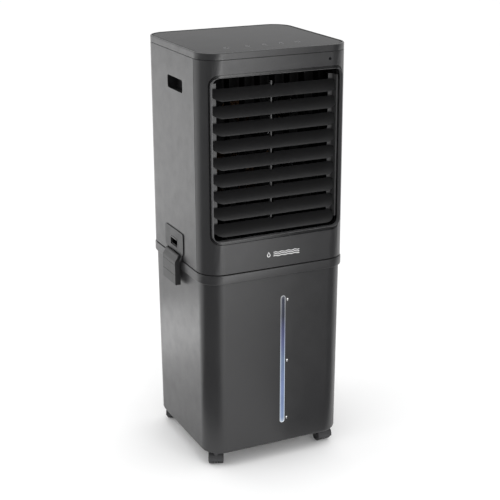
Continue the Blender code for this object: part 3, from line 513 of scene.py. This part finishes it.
def panel_line(bm, line, width=ICON_LINE, closed=False):
    """A line printed on the touch panel."""
    add_stroke(bm, line, width, *PANEL_PRINT_Z, "Z", closed)


def power_icon(bm, x, y, size):
    panel_line(bm, arc((x, y), size, -240, 60, 20))
    panel_line(bm, [(x, y + 0.2 * size), (x, y + 1.25 * size)])


def fan_icon(bm, x, y, size):
    for turn in (90, 210, 330):
        angle = math.radians(turn)
        centre = (x + 0.62 * size * math.cos(angle), y + 0.62 * size * math.sin(angle))
        panel_line(bm, arc(centre, 0.48 * size, turn + 10, turn + 360, 16)[:-1], FINE_LINE, True)
    panel_line(bm, arc((x, y), 0.18 * size, 0, 360, 10)[:-1], FINE_LINE, True)


def drop_icon(bm, x, y, size):
    line = arc((x, y - 0.25 * size), 0.72 * size, 140, 400, 18) + [(x, y + 1.25 * size)]
    panel_line(bm, line, closed=True)


def swing_icon(bm, x, y, size):
    for shift in (-0.7, 0.0, 0.7):
        centre = (x + shift * size - 1.4 * size, y)
        panel_line(bm, arc(centre, 1.6 * size, -38, 38, 8))


def clock_icon(bm, x, y, size):
    panel_line(bm, arc((x, y), size, 0, 360, 24)[:-1], closed=True)
    panel_line(bm, [(x, y + 0.6 * size), (x, y), (x + 0.45 * size, y)], FINE_LINE)


# The drawing function of each pictogram and the place of its middle.
ICONS = ((power_icon, -0.116, -0.130), (fan_icon, -0.054, -0.126), (drop_icon, -0.001, -0.122),
         (swing_icon, 0.049, -0.119), (clock_icon, 0.100, -0.120))


def touch_icons():
    """Five plain pictograms printed on the panel, each over a small marker line."""
    bm = bmesh.new()
    for draw, x, y in ICONS:
        draw(bm, x, y, ICON_SIZE)
        marker = rounded(MARKER_HALF_W, MARKER_HALF_H, 0.0003, 2, (x, y - MARKER_BELOW))
        add_prism(bm, marker, *PANEL_PRINT_Z)
    piece("touch_icons", bm, "icon")


# ---------------------------------------------------------------- front marks
MARK_X = 0.0135
MARK_Z = 0.6335
MARK_PRINT_Y = (FRONT_Y - PRINT_THICK, FRONT_Y + 0.00005)
DROP_X = MARK_X - 0.043
DROP_R = 0.0042
DROP_LINE = 0.0017
WAVE_LEFT = MARK_X - 0.028
WAVE_LENGTH = 0.080
WAVE_PITCH = 0.0052
WAVE_HEIGHT = 0.0011
WAVE_LINE = 0.0015
WAVE_STEPS = 36


def front_mark():
    """A plain pictogram under the outlet: a drop beside three waves of air."""
    bm = bmesh.new()
    drop = arc((DROP_X, MARK_Z - 0.0015), DROP_R, 150, 390, 16) + [(DROP_X, MARK_Z + 0.0075)]
    add_stroke(bm, drop, DROP_LINE, *MARK_PRINT_Y, "Y", True)
    for row in (-1, 0, 1):
        line = []
        for i in range(WAVE_STEPS + 1):
            run = i / WAVE_STEPS
            z = MARK_Z + WAVE_PITCH * row + WAVE_HEIGHT * math.sin(8 * math.pi * run)
            line.append((WAVE_LEFT + WAVE_LENGTH * run, z))
        add_stroke(bm, line, WAVE_LINE, *MARK_PRINT_Y, "Y")
    piece("front_mark", bm, "mark")


# ---------------------------------------------------------------- panel and outlet trim
CORNER_R = 0.060
# Insets and depths of the painted-shade ring inside the lid's lip.
LIP_SHADE_OUTER = 0.0048
LIP_SHADE_INNER = 0.0082
LIP_SHADE_BELOW = (0.0020, 0.0004)


def panel_lip_shade_ring():
    """A near-black ring between the sunken panel and the lid's raised lip: painted shade on the lip's inner
    face.
    """
    low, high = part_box("top_cap")
    half_w, half_d = (high.x - low.x) / 2, (high.y - low.y) / 2
    outer = rounded(half_w - LIP_SHADE_OUTER, half_d - LIP_SHADE_OUTER, CORNER_R - LIP_SHADE_OUTER, 12)
    inner = rounded(half_w - LIP_SHADE_INNER, half_d - LIP_SHADE_INNER, CORNER_R - LIP_SHADE_INNER, 12)
    bm = bmesh.new()
    add_frame(bm, outer, inner, high.z - LIP_SHADE_BELOW[0], high.z - LIP_SHADE_BELOW[1])
    ease(piece("panel_lip_shade_ring", bm, "vane"), 0.0003)


SLEEVE_HALF_W = 0.1937
SLEEVE_Z = (0.6883, 1.1357)
SLEEVE_WALL = 0.0009
SLEEVE_R = 0.0215
SLEEVE_Y = (-0.2092, -0.1930)


def outlet_sleeve():
    """The bezel's inner return: a thin sleeve just inside the black outlet frame, its light grey painted
    light on the lit inner wall.
    """
    middle = (0.0, sum(SLEEVE_Z) / 2)
    half_h = (SLEEVE_Z[1] - SLEEVE_Z[0]) / 2
    outer = rounded(SLEEVE_HALF_W, half_h, SLEEVE_R, 10, middle)
    inner = rounded(SLEEVE_HALF_W - SLEEVE_WALL, half_h - SLEEVE_WALL, SLEEVE_R - SLEEVE_WALL, 10,
                    middle)
    bm = bmesh.new()
    add_frame(bm, outer, inner, *SLEEVE_Y, "Y")
    ease(piece("outlet_sleeve", bm, "sleeve"), 0.0002)


# ---------------------------------------------------------------- level gauge
def tank_face_y(z):
    """The tank's front face at a height: it leans out towards the top."""
    return TANK_FRONT_Y + TANK_LEAN * (TANK_HIGH_Z - z) / (TANK_HIGH_Z - TANK_LOW_Z)


def obround(half_w, low, high, x):
    """An upright slot outline with round ends."""
    head = arc((x, high - half_w), half_w, 0, 180, 10)
    foot = arc((x, low + half_w), half_w, 180, 360, 10)
    return head + foot


def leaning_ring(bm, outline, behind):
    """An outline's vertices at a distance behind the tank's leaning front face."""
    return [bm.verts.new((x, tank_face_y(z) + behind, z)) for x, z in outline]


# Each step is an inset from the strip's outline and a distance behind the tank's front face.
RIM_STEPS = ((0.0, 0.0040), (0.0, 0.0002), (0.0003, -0.0001), (0.0009, -0.0001), (0.0014, 0.0008),
             (0.0014, 0.0040))
FACE_STEPS = ((0.0014, 0.0040), (0.0014, 0.0011), (0.0018, 0.0008), (0.0036, 0.0007))


def gauge_strip():
    """The acrylic strip: a sunken lit face inside a bevelled rim that stands just off the tank."""
    low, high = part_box("level_window")
    x = (low.x + high.x) / 2
    half = (high.x - low.x) / 2

    def line(inset):
        return obround(half - inset, low.z + inset, high.z - inset, x)

    rim = bmesh.new()
    bridge(rim, [leaning_ring(rim, line(inset), behind) for inset, behind in RIM_STEPS], close=True)
    rim_obj = piece("gauge_rim", rim, "rim")
    face = bmesh.new()
    rings = [leaning_ring(face, line(inset), behind) for inset, behind in FACE_STEPS]
    bridge(face, rings)
    face.faces.new(rings[-1])
    face.faces.new(list(reversed(rings[0])))
    face_obj = piece("gauge_face", face, "lit")
    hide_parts("level_window")
    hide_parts("level_window")


LED_COUNT = 14
LED_END = 0.012
CHIP_FRONT = 0.0006
BOARD_FRONT = 0.0022


def gauge_lamp():
    """The light bar behind the strip: a lacquered board with a row of lamp chips."""
    low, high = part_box("level_light")
    x = (low.x + high.x) / 2
    height = high.z - low.z
    bm = bmesh.new()
    board = rounded((high.x - low.x) / 2, height / 2, 0.001, 3, (x, (low.z + high.z) / 2))
    add_prism(bm, board, low.y + BOARD_FRONT, high.y, "Y")
    board_obj = piece("gauge_lamp_board", bm, "board")
    chips = bmesh.new()
    for i in range(LED_COUNT):
        z = low.z + LED_END + (height - 2 * LED_END) * i / (LED_COUNT - 1)
        chip = rounded(0.0022, 0.0016, 0.0005, 2, (x, z))
        add_prism(chips, chip, low.y + CHIP_FRONT, low.y + BOARD_FRONT, "Y")
    chip_obj = piece("gauge_lamp_chips", chips, "ink")
    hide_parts("level_light")
    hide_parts("level_light")


DOT_X = 0.0315
DOT_R = 0.0024
DOT_HEIGHTS = (0.493, 0.306, 0.1255)
DOT_DEEP = 0.0002
TICK_BELOW = 0.0048


def level_dots():
    """Three printed level marks beside the gauge strip, each a dot over a short tick."""
    bm = bmesh.new()
    for z in DOT_HEIGHTS:
        y = tank_face_y(z)
        dot = rounded(DOT_R, DOT_R, DOT_R, 5, (DOT_X, z))
        add_prism(bm, dot, y - PRINT_THICK, y + DOT_DEEP, "Y")
        tick = rounded(0.0022, 0.0004, 0.0003, 2, (DOT_X, z - TICK_BELOW))
        add_prism(bm, tick, y - PRINT_THICK, y + DOT_DEEP, "Y")
    piece("level_dots", bm, "mark")


# ---------------------------------------------------------------- cooling side
PAD_SHEETS = 44
FLUTE = 0.020
FLUTE_STEPS = 8
FLUTE_SLANT = 0.9
SHEET_GAP = 0.0006
SHEET_THICK = 0.0004
SHEET_SETBACK = 0.0005


def wet_pad():
    """The pad: thin corrugated sheets side by side, crests meeting, flutes slanting through."""
    low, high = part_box("cooling_pad")
    pitch = (high.x - low.x) / PAD_SHEETS
    reach = pitch / 2 - SHEET_GAP
    rows = int((high.z - low.z) / FLUTE * FLUTE_STEPS)
    bm = bmesh.new()
    for sheet in range(PAD_SHEETS):
        x = low.x + pitch * (sheet + 0.5)
        lean = 1 if sheet % 2 else -1
        previous = None
        for row in range(rows + 1):
            z = low.z + (high.z - low.z) * row / rows
            line = []
            for y, shift in ((low.y + SHEET_SETBACK, -0.5), (high.y - SHEET_SETBACK, 0.5)):
                phase = 2 * math.pi * (z / FLUTE + lean * shift * FLUTE_SLANT)
                line.append(bm.verts.new((x + lean * reach * math.sin(phase), y, z)))
            if previous:
                bm.faces.new((previous[0], previous[1], line[1], line[0]))
            previous = line
    obj = mesh_object("wet_pad", bm, FINISH["paper"])
    obj.data.shade_smooth()
    sheet_thickness = obj.modifiers.new("paper", "SOLIDIFY")
    sheet_thickness.thickness = SHEET_THICK
    sheet_thickness.offset = 0.0
    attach(obj, "root")
    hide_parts("cooling_pad")


THREAD_PITCH = 0.0030
THREAD = 0.00035
THREAD_HALF_W = 0.00105
BORDER_W = 0.007
CLOTH_EDGE = 0.006
BAR_HALF_W = 0.0020
UPRIGHT_BAR_X = 0.047
CROSS_BAR_PITCH = 0.124


def filter_cloth():
    """The filter: a moulded frame with cross bars, and threads laid across each other."""
    low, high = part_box("dust_filter")
    x_mid, z_mid = (low.x + high.x) / 2, (low.z + high.z) / 2
    half_w, half_h = (high.x - low.x) / 2, (high.z - low.z) / 2
    cloth_w, cloth_h = half_w - CLOTH_EDGE, half_h - CLOTH_EDGE
    cloth_y = (low.y + high.y) / 2
    bar_y = (cloth_y + 0.0006, high.y - 0.0004)
    border = bmesh.new()
    outer = rounded(half_w, half_h, 0.004, 4, (x_mid, z_mid))
    inner = rounded(half_w - BORDER_W, half_h - BORDER_W, 0.003, 4, (x_mid, z_mid))
    add_frame(border, outer, inner, low.y, high.y, "Y")
    for x in (x_mid - UPRIGHT_BAR_X, x_mid + UPRIGHT_BAR_X):
        add_prism(border, rounded(BAR_HALF_W, cloth_h, 0.001, 2, (x, z_mid)), *bar_y, "Y")
    for step in (-1, 0, 1):
        z = z_mid + CROSS_BAR_PITCH * step
        add_prism(border, rounded(cloth_w, BAR_HALF_W, 0.001, 2, (x_mid, z)), *bar_y, "Y")
    frame_obj = piece("filter_border", border, "inner")
    ease(frame_obj, 0.0004)
    threads = bmesh.new()
    across = int(2 * cloth_w / THREAD_PITCH)
    upward = int(2 * cloth_h / THREAD_PITCH)
    for i in range(across + 1):
        x = x_mid + THREAD_PITCH * (i - across / 2)
        line = rounded(THREAD_HALF_W, cloth_h, 0.0002, 1, (x, z_mid))
        add_prism(threads, line, cloth_y - 2 * THREAD, cloth_y, "Y")
    for i in range(upward + 1):
        z = z_mid + THREAD_PITCH * (i - upward / 2)
        line = rounded(cloth_w, THREAD_HALF_W, 0.0002, 1, (x_mid, z))
        add_prism(threads, line, cloth_y - THREAD, cloth_y + THREAD, "Y")
    cloth_obj = piece("filter_threads", threads, "mesh")
    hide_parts("dust_filter")
    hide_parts("dust_filter")


# ---------------------------------------------------------------- fittings
SCREW_PLACES = ((-0.105, 1.151), (0.0, 1.151), (0.105, 1.151), (-0.040, 0.620), (0.105, 0.620))
SCREW_R = 0.0040
# (radius, distance out of the back) from the dished middle over the head to its foot.
SCREW_PROFILE = ((0, 0.0008), (0.0012, 0.0008), (0.0013, 0.0015), (0.0026, 0.0014), (0.0035, 0.0010),
                 (SCREW_R, 0.0002), (SCREW_R, -0.0004), (0, -0.0004))
WING_RUN = (0.0009, 0.0027)
WING_HALF = 0.0003
WING_Y = (BACK_Y + 0.0010, BACK_Y + 0.00155)


def case_screws():
    """Black pan-head screws on the back; each drive is a dish with four thin wings round it."""
    bm = bmesh.new()
    for x, z in SCREW_PLACES:
        add_lathe(bm, SCREW_PROFILE, 24, (0, 1, 0), (x, BACK_Y, z))
        for turn in range(4):
            angle = math.radians(45 + 90 * turn)
            out = Vector((math.cos(angle), math.sin(angle)))
            wide = Vector((-out.y, out.x)) * WING_HALF
            near, far = [Vector((x, z)) + out * run for run in WING_RUN]
            add_prism(bm, [near - wide, far - wide, far + wide, near + wide], *WING_Y, "Y")
    piece("case_screws", bm, "screw")


TAB_BELOW = 0.0085
TAB_Y = (BACK_Y - 0.0006, BACK_Y + 0.0009)
TAB_RIB_PITCH = 0.0026
TAB_RIB_Y = (BACK_Y + 0.0007, BACK_Y + 0.0016)


def grille_tab():
    """The thumb tab at the head of the intake grille, with three grip ribs."""
    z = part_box("rear_grille")[1].z - TAB_BELOW
    bm = bmesh.new()
    add_prism(bm, rounded(0.016, 0.0055, 0.003, 5, (0.0, z)), *TAB_Y, "Y")
    for step in (-1, 0, 1):
        rib = rounded(0.010, 0.0007, 0.0006, 3, (0.0, z + TAB_RIB_PITCH * step))
        add_prism(bm, rib, *TAB_RIB_Y, "Y")
    ease(piece("grille_tab", bm, "inner"), 0.0002)


# ---------------------------------------------------------------- castor wheels
# (radius, distance from the middle plane) from the hub over the dish and rim to the inner face.
WHEEL_PROFILE = (
    (0.0, -0.0202), (0.0040, -0.0202), (0.0048, -0.0196), (0.0056, -0.0180), (0.0124, -0.0176),
    (0.0134, -0.0190), (0.0140, -0.0208), (0.0154, -0.0215), (0.0170, -0.0215), (0.0186, -0.0206),
    (0.0193, -0.0192), (0.0195, -0.0176), (0.0195, -0.0066), (0.0191, -0.0052), (0.0181, -0.0044),
    (0.0023, -0.0043))
WHEEL_STEPS = 56
TREAD_FROM_R = 0.0184
SPOKES = 6
SPOKE_OUTLINE = ((0.0046, -0.0011), (0.0046, 0.0011), (0.0136, 0.0008), (0.0136, -0.0008))
SPOKE_DEPTHS = (0.0172, 0.0192)


def add_spoke(bm, centre, out, side):
    """A tapered rib from hub to rim in the dish of the wheel that faces the given side."""
    wide = out.cross(side)
    low, high = [[bm.verts.new(centre + out * r + wide * w + side * depth) for r, w in SPOKE_OUTLINE]
                 for depth in SPOKE_DEPTHS]
    bm.faces.new(high)
    bm.faces.new(low[::-1])
    bridge(bm, [low, high])


def castor_wheels():
    """Twin wheels with dished hubs, ribs and a softer tread, each pair on its own axle."""
    up = Vector((0, 0, 1))
    for joint in frame["joints"]:
        node = joint["child"]
        if not node.startswith("castor_wheels"):
            continue
        centre, spin = Vector(joint["pos_m"]), Vector(joint["axis"]).normalized()
        bm = bmesh.new()
        profile = list(WHEEL_PROFILE) + [(r, -a) for r, a in reversed(WHEEL_PROFILE)]
        add_lathe(bm, profile, WHEEL_STEPS, spin, centre)
        across = spin.cross(up).normalized()
        for side in (-spin, spin):
            for spoke in range(SPOKES):
                angle = 2 * math.pi * spoke / SPOKES
                add_spoke(bm, centre, math.cos(angle) * across + math.sin(angle) * up, side)
        obj = piece(node + "_detail", bm, "nylon", node)
        mesh = obj.data
        mesh.materials.append(FINISH["tread"])
        for polygon in mesh.polygons:
            radii = [spin.cross(mesh.vertices[v].co - centre).length for v in polygon.vertices]
            if min(radii) > TREAD_FROM_R:
                polygon.material_index = 1
        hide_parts(node)


# ---------------------------------------------------------------- studio
CAMERA_AT = Vector((-1.4437, -3.1021, 1.7266))
CAMERA_AZIMUTH = math.radians(-25.139)
CAMERA_ELEVATION = math.radians(18.52)
CAMERA_ROLL = math.radians(-0.203)
SENSOR = 36.0
LENS = 88.776


def camera():
    """The camera at the photograph's place, height and focal length, with no shift."""
    data = bpy.data.cameras.new("camera")
    data.sensor_width = SENSOR
    data.lens = LENS
    obj = bpy.data.objects.new("camera", data)
    back = Vector((math.sin(CAMERA_AZIMUTH) * math.cos(CAMERA_ELEVATION),
                   -math.cos(CAMERA_AZIMUTH) * math.cos(CAMERA_ELEVATION), math.sin(CAMERA_ELEVATION)))
    right = Vector((math.cos(CAMERA_AZIMUTH), math.sin(CAMERA_AZIMUTH), 0.0))
    up = back.cross(right)
    rolled_right = math.cos(CAMERA_ROLL) * right + math.sin(CAMERA_ROLL) * up
    rolled_up = back.cross(rolled_right)
    matrix = Matrix((rolled_right, rolled_up, back)).transposed().to_4x4()
    matrix.translation = CAMERA_AT
    obj.matrix_world = matrix
    bpy.context.scene.collection.objects.link(obj)
    bpy.context.scene.camera = obj


def softbox(name, at, target, size, watts):
    """An area light at a place, facing a target, unseen by the camera."""
    data = bpy.data.lights.new(name, "AREA")
    data.shape = "RECTANGLE"
    data.size, data.size_y = size
    data.energy = watts
    obj = bpy.data.objects.new(name, data)
    aim = (Vector(target) - Vector(at)).to_track_quat("-Z", "Y")
    obj.matrix_world = Matrix.Translation(at) @ aim.to_matrix().to_4x4()
    obj.visible_camera = False
    bpy.context.scene.collection.objects.link(obj)


CARD_LIFT = 0.001
CARD_TOP = 2.1


def flag(name, line, near):
    """A black card that only reflections see: it lies on the floor and turns up along a line."""
    bm = bmesh.new()
    edge = [bm.verts.new((x, y, CARD_LIFT)) for x, y in near]
    feet = [bm.verts.new((x, y, CARD_LIFT)) for x, y in line]
    heads = [bm.verts.new((x, y, CARD_TOP)) for x, y in line]
    for i in range(len(line) - 1):
        bm.faces.new((feet[i], feet[i + 1], heads[i + 1], heads[i]))
        bm.faces.new((edge[i], edge[i + 1], feet[i + 1], feet[i]))
    black, _, shader = new_material(name, 1.0, Specular_IOR_Level=0.0)
    shader.inputs["Base Color"].default_value = (0.004, 0.004, 0.004, 1.0)
    obj = mesh_object(name, bm, black)
    obj.visible_camera = False
    obj.visible_diffuse = False
    obj.visible_shadow = False
    obj.visible_transmission = False


SKY_STRENGTH = 1.08
FLOOR_HALF = 30.0
# Angles of the left card round the cooler: 180 is -X and 270 is -Y.
LEFT_CARD_ARC = (166, 250, 16)
# Name, place, target, width and height, and power in watts of each light.
SOFTBOXES = (
    ("key_left", (-2.6, 0.2, 1.3), (0, 0, 0.5), (1.6, 1.6), 12),
    ("side_rear", (-0.95, 2.0, 0.35), (-0.2, 0, 0.3), (1.3, 1.1), 3.5),
    ("side_low", (-0.50, 0.58, 0.10), (-0.22, 0, 0.22), (0.40, 0.18), 0.30),
    ("front", (0.45, -2.3, 0.75), (0, -0.2, 0.5), (0.8, 1.6), 16),
    ("top", (0.2, -0.6, 3.2), (0, 0, 0.6), (2.2, 2.2), 7),
)


def studio():
    """A pale floor, an even pale sky, soft lights, and two cards that darken reflections."""
    world = bpy.data.worlds.new("studio")
    world.use_nodes = True
    world.node_tree.nodes["Background"].inputs["Color"].default_value = (1.0, 1.0, 1.0, 1.0)
    world.node_tree.nodes["Background"].inputs["Strength"].default_value = SKY_STRENGTH
    bpy.context.scene.world = world
    bm = bmesh.new()
    bmesh.ops.create_grid(bm, x_segments=1, y_segments=1, size=FLOOR_HALF)
    paper, tree, shader = new_material("floor_paper", 0.9)
    tint = mixed(tree, noise(tree, coordinates(tree), 1.5, 3.0), (0.93, 0.93, 0.93), (0.96, 0.96, 0.96))
    tree.links.new(tint, shader.inputs["Base Color"])
    mesh_object("floor", bm, paper)
    flag("card_left", arc((0, 0), 1.4, *LEFT_CARD_ARC), arc((0, 0), 0.50, *LEFT_CARD_ARC))
    flag("card_right", [(0.33, -0.95), (1.9, -0.65)], [(0.07, -0.30), (0.60, -0.22)])
    for settings in SOFTBOXES:
        softbox(*settings)
    bpy.context.scene.view_settings.view_transform = "Standard"


# ---------------------------------------------------------------- assembly
camera()
studio()
dress_cad()
touch_icons()
front_mark()
panel_lip_shade_ring()
outlet_sleeve()
gauge_strip()
gauge_lamp()
level_dots()
wet_pad()
filter_cloth()
case_screws()
grille_tab()
castor_wheels()
